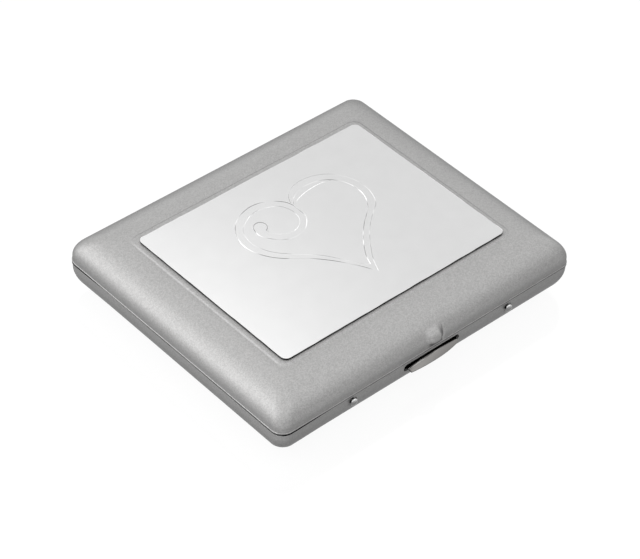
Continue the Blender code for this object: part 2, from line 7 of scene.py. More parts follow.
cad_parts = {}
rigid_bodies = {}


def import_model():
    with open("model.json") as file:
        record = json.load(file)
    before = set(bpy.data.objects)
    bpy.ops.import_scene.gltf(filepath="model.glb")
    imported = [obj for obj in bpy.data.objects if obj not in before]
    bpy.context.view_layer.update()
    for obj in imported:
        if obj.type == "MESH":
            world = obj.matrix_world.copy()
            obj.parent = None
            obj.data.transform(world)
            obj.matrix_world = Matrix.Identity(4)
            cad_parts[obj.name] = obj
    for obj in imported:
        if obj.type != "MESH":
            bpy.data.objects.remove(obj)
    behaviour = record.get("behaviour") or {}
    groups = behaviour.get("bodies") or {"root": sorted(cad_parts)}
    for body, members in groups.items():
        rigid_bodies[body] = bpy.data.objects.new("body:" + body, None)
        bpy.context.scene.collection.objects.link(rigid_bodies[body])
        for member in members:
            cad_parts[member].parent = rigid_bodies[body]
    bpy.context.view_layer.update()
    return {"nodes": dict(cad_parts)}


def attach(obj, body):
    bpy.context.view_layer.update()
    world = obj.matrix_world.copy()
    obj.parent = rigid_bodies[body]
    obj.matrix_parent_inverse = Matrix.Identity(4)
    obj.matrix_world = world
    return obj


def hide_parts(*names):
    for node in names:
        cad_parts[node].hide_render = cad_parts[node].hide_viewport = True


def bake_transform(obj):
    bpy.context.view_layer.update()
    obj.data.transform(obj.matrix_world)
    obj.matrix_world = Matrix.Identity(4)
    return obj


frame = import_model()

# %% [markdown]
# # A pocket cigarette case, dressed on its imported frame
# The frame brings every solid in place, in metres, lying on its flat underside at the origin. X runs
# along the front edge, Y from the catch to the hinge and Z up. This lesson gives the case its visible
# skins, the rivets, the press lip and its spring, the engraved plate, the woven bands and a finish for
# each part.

MM = 0.001

# %% [markdown]
# ## The camera first
# The view is worked out before any modelling, so each later render can be laid beside the photograph.
# The case is seen from its front left corner, a little over forty degrees above the table, through a
# long lens. A long lens keeps the opposite sides of the case nearly parallel.

# %% Camera
AZIMUTH = math.radians(-43.17)
ELEVATION = math.radians(42.2)
ROLL = math.radians(2.5)
DISTANCE = 624.88 * MM
TARGET = Vector((-4.8, -5.32, 9.45)) * MM
LENS_MM = 141.4
SENSOR_MM = 36
NEAR = 0.01


def aim(azimuth, elevation, roll):
    """The camera's three axes: its right, its up and the way back from the object to it."""
    out = math.cos(elevation)
    back = Vector((math.sin(azimuth) * out, -math.cos(azimuth) * out, math.sin(elevation)))
    level = Vector((math.cos(azimuth), math.sin(azimuth), 0))
    rise = back.cross(level)
    right = level * math.cos(roll) + rise * math.sin(roll)
    up = rise * math.cos(roll) - level * math.sin(roll)
    return right, up, back


right, up, back = aim(AZIMUTH, ELEVATION, ROLL)
camera = bpy.data.objects.new("camera", bpy.data.cameras.new("camera"))
camera.data.lens = LENS_MM
camera.data.sensor_width = SENSOR_MM
camera.data.clip_start = NEAR
turn = Matrix((right, up, back)).transposed().to_4x4()
camera.matrix_world = Matrix.Translation(TARGET + back * DISTANCE) @ turn
bpy.context.scene.collection.objects.link(camera)
bpy.context.scene.camera = camera
print("camera at, mm:", [round(value / MM, 1) for value in camera.matrix_world.translation])

# %% [markdown]
# ## Working by hand
# Each new piece starts from a primitive that is added at its size and place. It is then shaped in edit
# mode, where an operator acts on what is selected. Faces and edges are picked by their place or by the
# way that they face, which is the same thing a person does with the mouse. Every length is written in
# millimetres, and MM turns it into the frame's metres.

# %% Adding a piece and picking its parts
TINY = 0.001  # places nearer than this are one place
IN_COLUMN = 0.01  # a looser match, for the corners of one column
SHARP = 60  # an edge that turns by more degrees than this is a sharp one
UPRIGHT = (math.pi / 2, 0, 0)


def start(name, add, **where):
    """Adds a primitive with nothing else selected and opens it in edit mode."""
    bpy.ops.object.select_all(action="DESELECT")
    add(**where)
    piece = bpy.context.object
    bpy.ops.object.transform_apply(location=True, rotation=True, scale=True)
    piece.name = name
    piece.data.name = name
    bpy.ops.object.mode_set(mode="EDIT")
    return piece


def pick(kind, test):
    """Selects parts of the open piece by place in mm and normal, or an edge by how far it turns."""
    bpy.ops.mesh.select_mode(type=kind)
    bpy.ops.mesh.select_all(action="DESELECT")
    mesh = bpy.context.object.data
    shape = bmesh.from_edit_mesh(mesh)
    shape.normal_update()
    count = 0
    for part in {"VERT": shape.verts, "EDGE": shape.edges, "FACE": shape.faces}[kind]:
        if kind == "VERT":
            place, facing = part.co, part.normal
        elif kind == "EDGE":
            place = (part.verts[0].co + part.verts[1].co) / 2
            facing = math.degrees(part.calc_face_angle(0.0))
        else:
            place, facing = part.calc_center_median(), part.normal
        if test(place / MM, facing):
            part.select_set(True)
            count += 1
    shape.select_flush_mode()
    bmesh.update_edit_mesh(mesh)
    return count


def pick_all_faces():
    pick("FACE", lambda place, facing: True)


print("places nearer than", TINY, "mm are one place, an edge is sharp from", SHARP, "degrees")

# %% Extruding, moving and closing
CREASED = 35


def extrude(x, y, z):
    """Extrudes what is selected by a way in mm."""
    bpy.ops.mesh.extrude_region_move(TRANSFORM_OT_translate={"value": (x * MM, y * MM, z * MM)})


def move(x, y, z, **how):
    """Moves what is selected by a way in mm."""
    bpy.ops.transform.translate(value=(x * MM, y * MM, z * MM), **how)


def close(angle=CREASED):
    """Leaves edit mode and shades the piece smooth, with a crease where it turns by more than this."""
    bpy.ops.object.mode_set(mode="OBJECT")
    bpy.ops.object.shade_smooth_by_angle(angle=math.radians(angle))


def face_outwards():
    """Joins doubled corners and turns every face of the open piece outwards."""
    bpy.ops.mesh.select_all(action="SELECT")
    bpy.ops.mesh.remove_doubles(threshold=TINY * MM)
    bpy.ops.mesh.normals_make_consistent(inside=False)


print("pieces are shaded smooth up to", CREASED, "degrees")

# %% Thickness, cuts and holes
HOLE_SIDES = 32


def finish_with(piece, kind, **settings):
    """Adds a modifier to the piece and applies it."""
    bpy.context.view_layer.objects.active = piece
    modifier = piece.modifiers.new(kind.lower(), kind)
    for key, value in settings.items():
        setattr(modifier, key, value)
    bpy.ops.object.modifier_apply(modifier=modifier.name)


def thicken(piece, sheet):
    """Gives a skin its thickness in mm, inwards from its face, and opens it in edit mode again."""
    bpy.ops.object.mode_set(mode="OBJECT")
    finish_with(piece, "SOLIDIFY", thickness=sheet * MM, offset=-1, use_even_offset=True)
    bpy.ops.object.mode_set(mode="EDIT")


def cut(piece, tool, operation="DIFFERENCE"):
    """Takes the tool's shape out of the piece, or joins it on, and throws the tool away."""
    bpy.ops.object.mode_set(mode="OBJECT")
    bpy.ops.object.select_all(action="DESELECT")
    piece.select_set(True)
    finish_with(piece, "BOOLEAN", operation=operation, solver="EXACT", object=tool)
    bpy.data.objects.remove(tool, do_unlink=True)


def drill(piece, x, y, z, radius, depth):
    """Drills a round hole along Y, with its middle at a place in mm."""
    size = {"vertices": HOLE_SIDES, "radius": radius * MM, "depth": depth * MM}
    middle = (x * MM, y * MM, z * MM)
    tool = start("hole", bpy.ops.mesh.primitive_cylinder_add, location=middle, rotation=UPRIGHT, **size)
    cut(piece, tool)


print("round holes have", HOLE_SIDES, "sides")

# %% [markdown]
# ## Pressed trays
# The lid and the base are each one sheet of steel, pressed so that an upright rim strip rolls over into
# the flat. The section of that roll is a quarter of an ellipse, or a little fuller. Starting from the
# outline at the rim, each step of the press is one extrude and one resize of the face. The resize
# differs along X and Y, so that every ring is inset by the same amount on all four sides.

# %% Values of the trays
HALF_X = 48.5
HALF_Y = 41.0
SHEET = 0.6
SKIRT = 1.4  # height of the upright strip at the rim
CORNER = 3.5
CORNER_STEPS = 12
BASE_RIM = 9.4
LID_RIM = 9.55
LID_TOP = 17.23  # the flat of the lid; the base's flat is at 0
BASE_RUN = 8.0  # how far in from the side the roll ends
LID_RUN = 10.3
BASE_FULL = 2.0
LID_FULL = 2.12  # 2 is an ellipse, more is a fuller roll
ROLL_STEPS = 44
BEAD = 0.12  # how far the rim's bead stands out from the skirt
BEAD_HIGH = 0.22
print("trays, mm:", 2 * HALF_X, "by", 2 * HALF_Y, "- the rims meet at", BASE_RIM, "and", LID_RIM)

# %% How a tray is pressed
def step_in(height, inset_x, inset_y, state):
    """One extrude of the selected face by a height, then a resize to new insets from the sides."""
    z, old_x, old_y = state
    extrude(0, 0, height)
    size = ((HALF_X - inset_x) / (HALF_X - old_x), (HALF_Y - inset_y) / (HALF_Y - old_y), 1)
    bpy.ops.transform.resize(value=size, center_override=(0, 0, (z + height) * MM))
    return z + height, inset_x, inset_y


def press_tray(name, rim, height, run, full, direction):
    """The outer skin of a tray from its rim to its flat; the flat's face stays selected."""
    middle = (0, 0, rim * MM)
    piece = start(name, bpy.ops.mesh.primitive_plane_add, size=1, location=middle)
    bpy.ops.transform.resize(value=(2 * HALF_X * MM, 2 * HALF_Y * MM, 1), center_override=middle)
    bpy.ops.mesh.bevel(offset=CORNER * MM, segments=CORNER_STEPS, affect="VERTICES")
    pick_all_faces()
    state = step_in(direction * BEAD_HIGH, 0, 0, (rim, 0, 0))
    state = step_in(direction * BEAD, BEAD, BEAD, state)
    state = step_in(direction * (SKIRT - BEAD_HIGH - BEAD), BEAD, BEAD, state)
    for step in range(1, ROLL_STEPS + 1):
        before = math.pi / 2 * (step - 1) / ROLL_STEPS
        angle = math.pi / 2 * step / ROLL_STEPS
        rise = (height - SKIRT) * (math.sin(angle) ** (2 / full) - math.sin(before) ** (2 / full))
        inset = BEAD + (run - BEAD) * (1 - max(math.cos(angle), 0.0) ** (2 / full))
        state = step_in(direction * rise, inset, inset, state)
    return piece, state


def open_rim(rim):
    """Takes away the face that still closes the tray's mouth."""
    pick("FACE", lambda place, facing: abs(place.z - rim) < TINY)
    bpy.ops.mesh.delete(type="FACE")


print("a tray takes", ROLL_STEPS + 3, "steps of the press")

# %% [markdown]
# ## The lid
# The lid's flat carries a low pad for the plate. The pad's edge is a short soft step, which the light
# picks out as a thin line round the plate, and under the plate lies a bed for the adhesive film. The
# flat's face goes on inwards in the same way as the roll: up the soft step, across under the plate's
# edge and down to the bed.

# %% Lid
PLATE_X = 36.4
PLATE_Y = 27.95
PAD_MARGIN = 1.1  # from the plate's edge to the top of the pad's soft step
PAD_STEP = 0.62
PAD_RISE = 0.25
FILM_BED = 17.2
LEDGE = 0.6  # how far the pad reaches under the plate
CREST = (  # the soft step's section from its foot: share of its width left, share of its rise
    (1.0, 0.0),
    (0.84, 0.07),
    (0.68, 0.24),
    (0.5, 0.5),
    (0.32, 0.76),
    (0.16, 0.93),
    (0.0, 1.0),
)

lid, state = press_tray("lid_skin", LID_RIM, LID_TOP - LID_RIM, LID_RUN, LID_FULL, 1)
for across, up_share in CREST:
    outset = PAD_MARGIN + PAD_STEP * across
    climb = LID_TOP + PAD_RISE * up_share - state[0]
    state = step_in(climb, HALF_X - PLATE_X - outset, HALF_Y - PLATE_Y - outset, state)
state = step_in(0, HALF_X - PLATE_X + LEDGE, HALF_Y - PLATE_Y + LEDGE, state)
state = step_in(FILM_BED - state[0], HALF_X - PLATE_X + LEDGE, HALF_Y - PLATE_Y + LEDGE, state)
open_rim(LID_RIM)
face_outwards()
print("lid skin:", len(lid.data.polygons), "faces before its thickness")

# %% [markdown]
# ## The thumb rest
# Over the catch a thumb rest is pressed out of the lid's front roll. Its lower end and sides are steep,
# its upper end fades into the roll, and a narrow crease runs round its lower end and its right side,
# where the punch drew the sheet in. The lid is first cut into fine columns there. Then each corner of
# the patch is moved along the roll's own normal, by a height that depends on how far inside the rest's
# outline it lies.

# %% Columns for the thumb rest
REST_MIDDLE = 0.8
PATCH_HALF = 4.2
PATCH_COLUMNS = 32
for column in range(-PATCH_COLUMNS, PATCH_COLUMNS + 1):
    x = REST_MIDDLE + column * PATCH_HALF / PATCH_COLUMNS
    bpy.ops.mesh.select_all(action="SELECT")
    bpy.ops.mesh.bisect(plane_co=(x * MM, 0, 0), plane_no=(1, 0, 0))
bpy.ops.object.mode_set(mode="OBJECT")
print("columns:", 2 * PATCH_COLUMNS, "of", round(PATCH_HALF / PATCH_COLUMNS, 3), "mm")

# %% The roll under the thumb rest
def smooth(value):
    value = min(max(value, 0.0), 1.0)
    return value * value * (3 - 2 * value)


def on_roll(z):
    """The place along Y of the lid's front at a height, and the way that it faces there."""
    rise = LID_TOP - LID_RIM - SKIRT
    if z <= LID_RIM + SKIRT:
        return -HALF_Y + BEAD, Vector((0, -1, 0))
    angle = math.asin(min((z - LID_RIM - SKIRT) / rise, 1.0) ** (LID_FULL / 2))
    y = -HALF_Y + BEAD + (LID_RUN - BEAD) * (1 - math.cos(angle) ** (2 / LID_FULL))
    forwards = math.cos(angle) ** (2 - 2 / LID_FULL) * rise
    upwards = math.sin(angle) ** (2 - 2 / LID_FULL) * LID_RUN
    return y, Vector((0, -forwards, upwards)).normalized()


print("roll's middle height lies at y", round(on_roll((LID_RIM + LID_TOP) / 2)[0], 2))

# %% Thumb rest
REST_HALF = 2.8
REST_LOW = 0.6  # its lower end above the lid's rim
REST_ROUND = 2.4  # height of its rounded lower end
REST_FADE = 2.3  # height of its upper end, where it fades
REST_RISE = 1.1
REST_EDGE = 1.5  # how far in from its outline it stands out in full
REST_SQUARE = 2.7  # 2 is an ellipse, more is a squarer lower end
CREASE = 0.3  # how deep
CREASE_WIDE = 0.2
CREASE_FROM = -2.2  # left of this there is no crease
CREASE_GROWS = 1.2
PATCH_DEEP = -HALF_Y + 7.5  # the patch ends here, behind the roll's front
PATCH_LOW = LID_RIM + 0.4
PATCH_HIGH = 16.4


def pressed_out(off, along):
    """How far the thumb rest stands out at a place beside its middle and above its lower end."""
    below = max(REST_ROUND - along, 0) / REST_ROUND
    outline = (abs(off) / REST_HALF) ** REST_SQUARE + below ** REST_SQUARE
    inside = REST_ROUND * (1 - outline ** (1 / REST_SQUARE))
    crease = CREASE * math.exp(-((inside + CREASE_WIDE) / CREASE_WIDE) ** 2)
    crease = crease * smooth((off - CREASE_FROM) / CREASE_GROWS)
    fade = 1 - smooth((along - REST_ROUND) / REST_FADE)
    return (REST_RISE * smooth(inside / REST_EDGE) - crease) * fade


moved = 0
for corner in lid.data.vertices:
    x, y, z = corner.co / MM
    off = x - REST_MIDDLE
    if y > PATCH_DEEP or abs(off) > PATCH_HALF + IN_COLUMN or not PATCH_LOW <= z <= PATCH_HIGH:
        continue
    y, normal = on_roll(z)
    swell = pressed_out(off, z - LID_RIM - REST_LOW)
    corner.co = (Vector((x, y, z)) + normal * swell) * MM
    moved += abs(swell) > TINY
print("thumb rest moved", moved, "corners")

# %% Lid thickness and rim
RIM_ROUND = 0.1


def outer_edge(place):
    """True on the tray's outline, and false on its inner wall."""
    across = max(abs(place.x) - HALF_X + CORNER, 0)
    along = max(abs(place.y) - HALF_Y + CORNER, 0)
    return math.hypot(across, along) > CORNER - SHEET / 2


def round_rim(rim):
    """Rounds the outer edge of the rim; the inner one stays as sheared."""

    def on_rim(place, turn):
        return abs(place.z - rim) < TINY and turn > SHARP and outer_edge(place)

    count = pick("EDGE", on_rim)
    bpy.ops.mesh.bevel(offset=RIM_ROUND * MM, segments=2)
    return count


thicken(lid, SHEET)
rounded = round_rim(LID_RIM)
close()
print("lid rim:", rounded, "edges rounded")

# %% Hinge notch of the lid
HINGE_HALF = 32.3
HINGE_CLEAR = 1.25
HINGE_IN = HALF_Y - 1.2
HINGE_OUT = HALF_Y + 0.6
PAST_RIM = 0.6
PARTING = (BASE_RIM + LID_RIM) / 2


def cut_block(piece, low, high):
    """Cuts away a box given by two corners in mm."""
    middle = [(a + b) / 2 * MM for a, b in zip(low, high)]
    size = [(b - a) * MM for a, b in zip(low, high)]
    tool = start("notch", bpy.ops.mesh.primitive_cube_add, size=1, location=middle)
    bpy.ops.transform.resize(value=size, center_override=middle)
    cut(piece, tool)


low = (-HINGE_HALF, HINGE_IN, BASE_RIM - PAST_RIM)
high = (HINGE_HALF, HINGE_OUT, PARTING + HINGE_CLEAR)
cut_block(lid, low, high)
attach(lid, "lid")
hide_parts("lid_shell")
print("lid:", len(lid.data.polygons), "faces")

# %% [markdown]
# ## The base
# The base is the same pressing turned over, a little deeper. Its rim lies a hair low at the front left
# and the rear left corners, as a sheet springs back unevenly after the press. It is cut into short
# lengths near those corners and pulled down there with a soft falloff.

# %% Base
RIM_CUTS = 7
FIRST_CUT = 2  # the cuts start one step further in than this
NEXT_CUT = 3
base = press_tray("base_skin", BASE_RIM, BASE_RIM, BASE_RUN, BASE_FULL, -1)[0]
open_rim(BASE_RIM)
face_outwards()
for step in range(1, RIM_CUTS + 1):
    pick_all_faces()
    x = -HALF_X + FIRST_CUT + NEXT_CUT * step
    bpy.ops.mesh.bisect(plane_co=(x * MM, 0, 0), plane_no=(1, 0, 0))
    pick("FACE", lambda place, facing: place.y > 0 or place.x < 0)
    y = HALF_Y - FIRST_CUT - NEXT_CUT * step
    bpy.ops.mesh.bisect(plane_co=(0, y * MM, 0), plane_no=(0, 1, 0))
thicken(base, SHEET)
round_rim(BASE_RIM)
print("base skin:", len(base.data.polygons), "faces before its rim is rounded")

# %% Low corners of the rim
DIP = 0.3
DIP_REACH = 14.0  # the soft falloff ends here
DIP_ROUND = 5.0  # everything nearer than this to the case's corner is pulled in full
PULLED_LOW = BASE_RIM - 0.3
pull = {
    "use_proportional_edit": True,
    "proportional_edit_falloff": "SMOOTH",
    "proportional_size": DIP_REACH * MM,
}
for case_corner in (Vector((-HALF_X, -HALF_Y)), Vector((-HALF_X, HALF_Y))):

    def pulled(place, facing):
        return place.z > PULLED_LOW and (place.to_2d() - case_corner).length < DIP_ROUND

    chosen = pick("VERT", pulled)
    move(0, 0, -DIP, **pull)
    print("rim dip at", tuple(case_corner), "pulled", chosen, "corners")
close()

# %% [markdown]
# ## Openings of the base
# The rear wall is notched for the hinge, as the lid's is. The front wall has the round-ended slot that
# the press lip comes out through, and two holes for the rivets of the catch spring. Each hole starts
# with a shallow wider dimple that seats the rivet's head.

# %% Hinge notch and slot
SLOT_HALF = 9.2
SLOT_TOP = 8.7
SLOT_LOW = 6.5
SLOT_STEPS = 10  # facets of each round end
ALMOST = 0.999  # a full half round would put two corners in one place
PUNCH_FROM = -HALF_Y - 0.6
PUNCH_TRAVEL = 1.8

low = (-HINGE_HALF, HINGE_IN, PARTING - HINGE_CLEAR)
high = (HINGE_HALF, HINGE_OUT, BASE_RIM + PAST_RIM)
cut_block(base, low, high)
slot_round = (SLOT_TOP - SLOT_LOW) / 2
middle = (0, PUNCH_FROM * MM, ((SLOT_LOW + SLOT_TOP) / 2) * MM)
tool = start("slot", bpy.ops.mesh.primitive_plane_add, size=1, location=middle, rotation=UPRIGHT)
size = (2 * SLOT_HALF * MM, 1, 2 * slot_round * MM)
bpy.ops.transform.resize(value=size, center_override=middle)
bpy.ops.mesh.bevel(offset=slot_round * ALMOST * MM, segments=SLOT_STEPS, affect="VERTICES")
pick_all_faces()
extrude(0, PUNCH_TRAVEL, 0)
face_outwards()
cut(base, tool)
print("slot, mm:", 2 * SLOT_HALF, "by", round(2 * slot_round, 2))

# %% Rivet holes
RIVET_X = 25.8
RIVET_Z = 7.6
DIMPLE = (1.28, 0.34)  # radius and how deep from the wall's face
RIVET_HOLE = (0.8, 1.0)
DRILL_OUT = 0.4  # how far outside the wall the drill starts
for side in (-1, 1):
    for radius, reach in (DIMPLE, RIVET_HOLE):
        y = -HALF_Y - DRILL_OUT / 2 + reach / 2
        drill(base, side * RIVET_X, y, RIVET_Z, radius, reach + DRILL_OUT)
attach(base, "base")
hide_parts("base_shell")
print("base:", len(base.data.polygons), "faces")

# %% [markdown]
# ## Rivets of the catch spring
# Each rivet is one turned piece: a flat tail behind the spring, a shank through the spring and the wall,
# and a low dome outside that sits in a shallow dimple of the wall. A disc is extruded and resized along
# the rivet's axis, step by step, as a lathe hand would read the profile off a drawing.

# %% Profile of a rivet
RIVET_HEAD = 1.05
RIVET_HIGH = 0.7
RIVET_SHANK = 0.5
RIVET_GRIP = 1.9
RIVET_TAIL = 1.0
TAIL_SHEET = 0.35
HEAD_SEAT = -41.3  # the head's flat underside, just clear of the wall
TAIL_END = HEAD_SEAT + RIVET_GRIP + TAIL_SHEET
DOME_STEP = 10  # degrees

profile = [  # each step's new radius and how far forward it goes
    (RIVET_TAIL, TAIL_SHEET),
    (RIVET_SHANK, 0.0),
    (RIVET_SHANK, RIVET_GRIP),
    (RIVET_HEAD, 0.0),
]
for angle in range(DOME_STEP, 90, DOME_STEP):
    here, before = math.radians(angle), math.radians(angle - DOME_STEP)
    forward = RIVET_HIGH * (math.sin(here) - math.sin(before))
    profile.append((RIVET_HEAD * math.cos(here), forward))
print("rivet profile:", len(profile), "steps from y", round(TAIL_END, 2))

# %% Rivets
RIVET_SIDES = 40
disc = {"vertices": RIVET_SIDES, "radius": RIVET_TAIL * MM, "fill_type": "NGON"}
middle = (-RIVET_X * MM, TAIL_END * MM, RIVET_Z * MM)
add_disc = bpy.ops.mesh.primitive_circle_add
rivet = start("rivet_dome_left", add_disc, location=middle, rotation=UPRIGHT, **disc)
y, radius = TAIL_END, RIVET_TAIL
for new_radius, forward in profile:
    extrude(0, -forward, 0)
    y -= forward
    share = new_radius / radius
    middle = (-RIVET_X * MM, y * MM, RIVET_Z * MM)
    bpy.ops.transform.resize(value=(share, 1, share), center_override=middle)
    radius = new_radius
face_outwards()
close(angle=40)
apart = {"value": (2 * RIVET_X * MM, 0, 0)}
bpy.ops.object.duplicate_move(OBJECT_OT_duplicate={"linked": False}, TRANSFORM_OT_translate=apart)
twin = bpy.context.object
bpy.ops.object.transform_apply(location=True)
twin.name = "rivet_dome_right"
for piece, node in ((rivet, "catch_rivet_left"), (twin, "catch_rivet_right")):
    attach(piece, "base")
    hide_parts(node)
print("rivet domes:", len(rivet.data.polygons), "faces each")

# %% [markdown]
# ## The press lip
# The catch is opened with a half-moon lip that slopes out and down through the slot. It is one stamping
# with a plate behind the wall and a hook that stands up into the lid. The lip starts as a flat strip
# whose front edge is extruded down a gentle slope. Each column of the strip is then shortened and
# lowered by its own amount, which gives the half-moon edge and the arched root. The plate is a box with
# its hook extruded.

# %% Press lip
LIP_HALF = 8.1
LIP_MIDDLE = 0.2
LIP_SHEET = 0.45
LIP_REACH = 1.74  # out of the wall at its longest
LIP_END_REACH = 1.05
LIP_ROOT = 7.92  # its upper face in the middle of the slot
LIP_EDGE = 6.87  # its upper face at the edge, in the middle
LIP_COLUMNS = 24
LIP_SECTION = (  # shares of its reach and of its drop
    (0.0, 0.0),
    (0.2, 0.14),
    (0.45, 0.36),
    (0.7, 0.62),
    (0.9, 0.87),
    (1.0, 1.0),
)
BEHIND = -38.7  # the outer face of the plate behind the wall
BEHIND_SHEET = 0.5

inner = BEHIND + BEHIND_SHEET / 2
strip = (LIP_MIDDLE * MM, (inner - HALF_Y) / 2 * MM, LIP_ROOT * MM)
columns = {"x_subdivisions": LIP_COLUMNS, "y_subdivisions": 1}
lip = start("press_lip", bpy.ops.mesh.primitive_grid_add, size=1, location=strip, **columns)
size = (2 * LIP_HALF * MM, (inner + HALF_Y) * MM, 1)
bpy.ops.transform.resize(value=size, center_override=strip)
drop = LIP_ROOT - LIP_EDGE
for (out, down), (next_out, next_down) in zip(LIP_SECTION, LIP_SECTION[1:]):
    edge = -HALF_Y - out * LIP_REACH
    pick("EDGE", lambda place, turn: abs(place.y - edge) < TINY)
    extrude(0, (out - next_out) * LIP_REACH, (down - next_down) * drop)
print("lip strip, mm:", 2 * LIP_HALF, "wide,", round(drop, 2), "of drop")

# %% Half-moon edge and arched root
LIP_LONGEST = -1.0  # where along X it reaches furthest
LIP_SQUARE = 2.4  # 2 is an ellipse, more is a squarer half-moon
LIP_CREST = 1.0  # where along X its root stands highest
LIP_ARCH = 0.0075  # how fast the root falls away from there
EDGE_ARCH = 0.003  # how fast the edge rises from the middle
LIP_ROUND = 0.1
LIP_OUTSIDE = -HALF_Y - 0.05
WALL = -HALF_Y * MM

for column in range(LIP_COLUMNS + 1):
    x = LIP_MIDDLE + LIP_HALF * (2 * column / LIP_COLUMNS - 1)
    round_off = 1 - abs((x - LIP_LONGEST) / LIP_HALF) ** LIP_SQUARE
    reach = LIP_END_REACH + (LIP_REACH - LIP_END_REACH) * round_off
    root = LIP_ROOT - LIP_ARCH * (x - LIP_CREST) ** 2
    edge = LIP_EDGE + EDGE_ARCH * x * x
    pick("VERT", lambda place, facing: abs(place.x - x) < IN_COLUMN and place.y < -HALF_Y + TINY)
    share = (1, reach / LIP_REACH, (root - edge) / drop)
    bpy.ops.transform.resize(value=share, center_override=(x * MM, WALL, LIP_ROOT * MM))
    pick("VERT", lambda place, facing: abs(place.x - x) < IN_COLUMN)
    move(0, 0, root - LIP_ROOT)
thicken(lip, LIP_SHEET)
rounded = pick("EDGE", lambda place, turn: place.y < LIP_OUTSIDE and turn > SHARP)
bpy.ops.mesh.bevel(offset=LIP_ROUND * MM, segments=2)
bpy.ops.object.mode_set(mode="OBJECT")
print("lip edge:", rounded, "edges rounded")

# %% Plate and hook of the press lip
HOOK_HALF = 4.0
BEHIND_HALF = 7.5
BEHIND_LOW = 5.4
BEHIND_TOP = 7.95
HOOK_LOW = 10.55
HOOK_SHEET = 0.5
HOOK_NOSE = 0.8
FACING = 0.9  # a face looks along an axis when its normal goes this far along it
MARGIN = 0.1  # keeps a pick clear of the next corners

middle = (0, inner * MM, (BEHIND_LOW + BEHIND_TOP) / 2 * MM)
tool = start("lip_plate", bpy.ops.mesh.primitive_cube_add, size=1, location=middle)
size = (2 * BEHIND_HALF * MM, BEHIND_SHEET * MM, (BEHIND_TOP - BEHIND_LOW) * MM)
bpy.ops.transform.resize(value=size, center_override=middle)
for side in (-1, 1):
    pick_all_faces()
    bpy.ops.mesh.bisect(plane_co=(side * HOOK_HALF * MM, 0, 0), plane_no=(1, 0, 0))
pick("FACE", lambda place, facing: facing.z > FACING and abs(place.x) < HOOK_HALF)
extrude(0, 0, HOOK_LOW - BEHIND_TOP)
extrude(0, 0, HOOK_SHEET)
pick("FACE", lambda place, facing: facing.y < -FACING and place.z > HOOK_LOW)
extrude(0, -HOOK_NOSE, 0)
pick("VERT", lambda place, facing: place.y < BEHIND - MARGIN and place.z > HOOK_LOW + MARGIN)
move(0, 0, -HOOK_SHEET / 2)
face_outwards()
cut(lip, tool, "UNION")
close()
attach(lip, "catch")
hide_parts("catch_thumbpiece")
print("press lip:", len(lip.data.polygons), "faces")

# %% [markdown]
# ## The catch spring
# A strip of spring steel is riveted to the wall at both ends, and bows in between them, so that its
# middle stands behind the press lip's plate and carries it. When the lip is pressed, the middle goes in
# with it and the ends stay. The frame's own spring keeps one shape; the strip is made again here as a
# piece of its own: an upright grid is bowed column by column, made as thick as its sheet, and drilled
# for four rivets.

# %% Catch spring
SPRING_HALF = 27.1
SPRING_FLAT = 9.3  # half of its straight middle
SPRING_ENDS = 23.6  # where the bend runs out into the straight ends
SPRING_SEAT = -40.1  # its outer face at the rivets
SPRING_BOW = 2.2
SPRING_SHEET = 0.4
SPRING_HIGH = 2.4
SPRING_COLUMNS = 56
SPRING_ROUND = 0.06

seat = (0, SPRING_SEAT * MM, RIVET_Z * MM)
columns = {"x_subdivisions": SPRING_COLUMNS, "y_subdivisions": 1}
add_grid = bpy.ops.mesh.primitive_grid_add
spring = start("bowed_spring", add_grid, size=1, location=seat, rotation=UPRIGHT, **columns)
size = (2 * SPRING_HALF * MM, 1, SPRING_HIGH * MM)
bpy.ops.transform.resize(value=size, center_override=seat)
for column in range(SPRING_COLUMNS + 1):
    x = SPRING_HALF * (2 * column / SPRING_COLUMNS - 1)
    bend = min(max((abs(x) - SPRING_FLAT) / (SPRING_ENDS - SPRING_FLAT), 0), 1)
    pick("VERT", lambda place, facing: abs(place.x - x) < IN_COLUMN)
    move(0, SPRING_BOW * (1 + math.cos(math.pi * bend)) / 2, 0)
thicken(spring, SPRING_SHEET)
rounded = pick("EDGE", lambda place, turn: turn > SHARP)
bpy.ops.mesh.bevel(offset=SPRING_ROUND * MM, segments=2)
bpy.ops.object.mode_set(mode="OBJECT")
print("spring strip:", rounded, "edges rounded")

# %% Holes of the spring
WALL_HOLE = 0.8
LIP_HOLE = 0.65
LIP_RIVET_X = 4.5
SPRING_HOLES = (
    (-RIVET_X, WALL_HOLE),
    (-LIP_RIVET_X, LIP_HOLE),
    (LIP_RIVET_X, LIP_HOLE),
    (RIVET_X, WALL_HOLE),
)
DRILL_DEPTH = 4

for x, radius in SPRING_HOLES:
    drill(spring, x, SPRING_SEAT + SPRING_BOW / 2, RIVET_Z, radius, DRILL_DEPTH)
close()
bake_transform(spring)
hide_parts("catch_spring")
print("catch spring:", len(spring.data.polygons), "faces")

# %% [markdown]
# ## The engraved plate
# The plate is a thin polished sheet with a fine bevel. The ornament is a scroll heart, engraved as two
# fine lines that run side by side like the edges of a ribbon. A graver leaves a groove with a V section,
# so each line is swept as a thin tube with four sides and cut out of the plate. One side of the V
# mirrors something light and the other something dark, and painted shade in patches on the lines' floors
# adds to it.

# %% Plate
PLATE_LOW = 17.5
PLATE_TOP = 18.0
PLATE_CORNER = 1.7
PLATE_CORNER_STEPS = 8
PLATE_BEVEL = 0.1
PLATE_MIDDLE = -0.35  # glued on a little forward of the middle

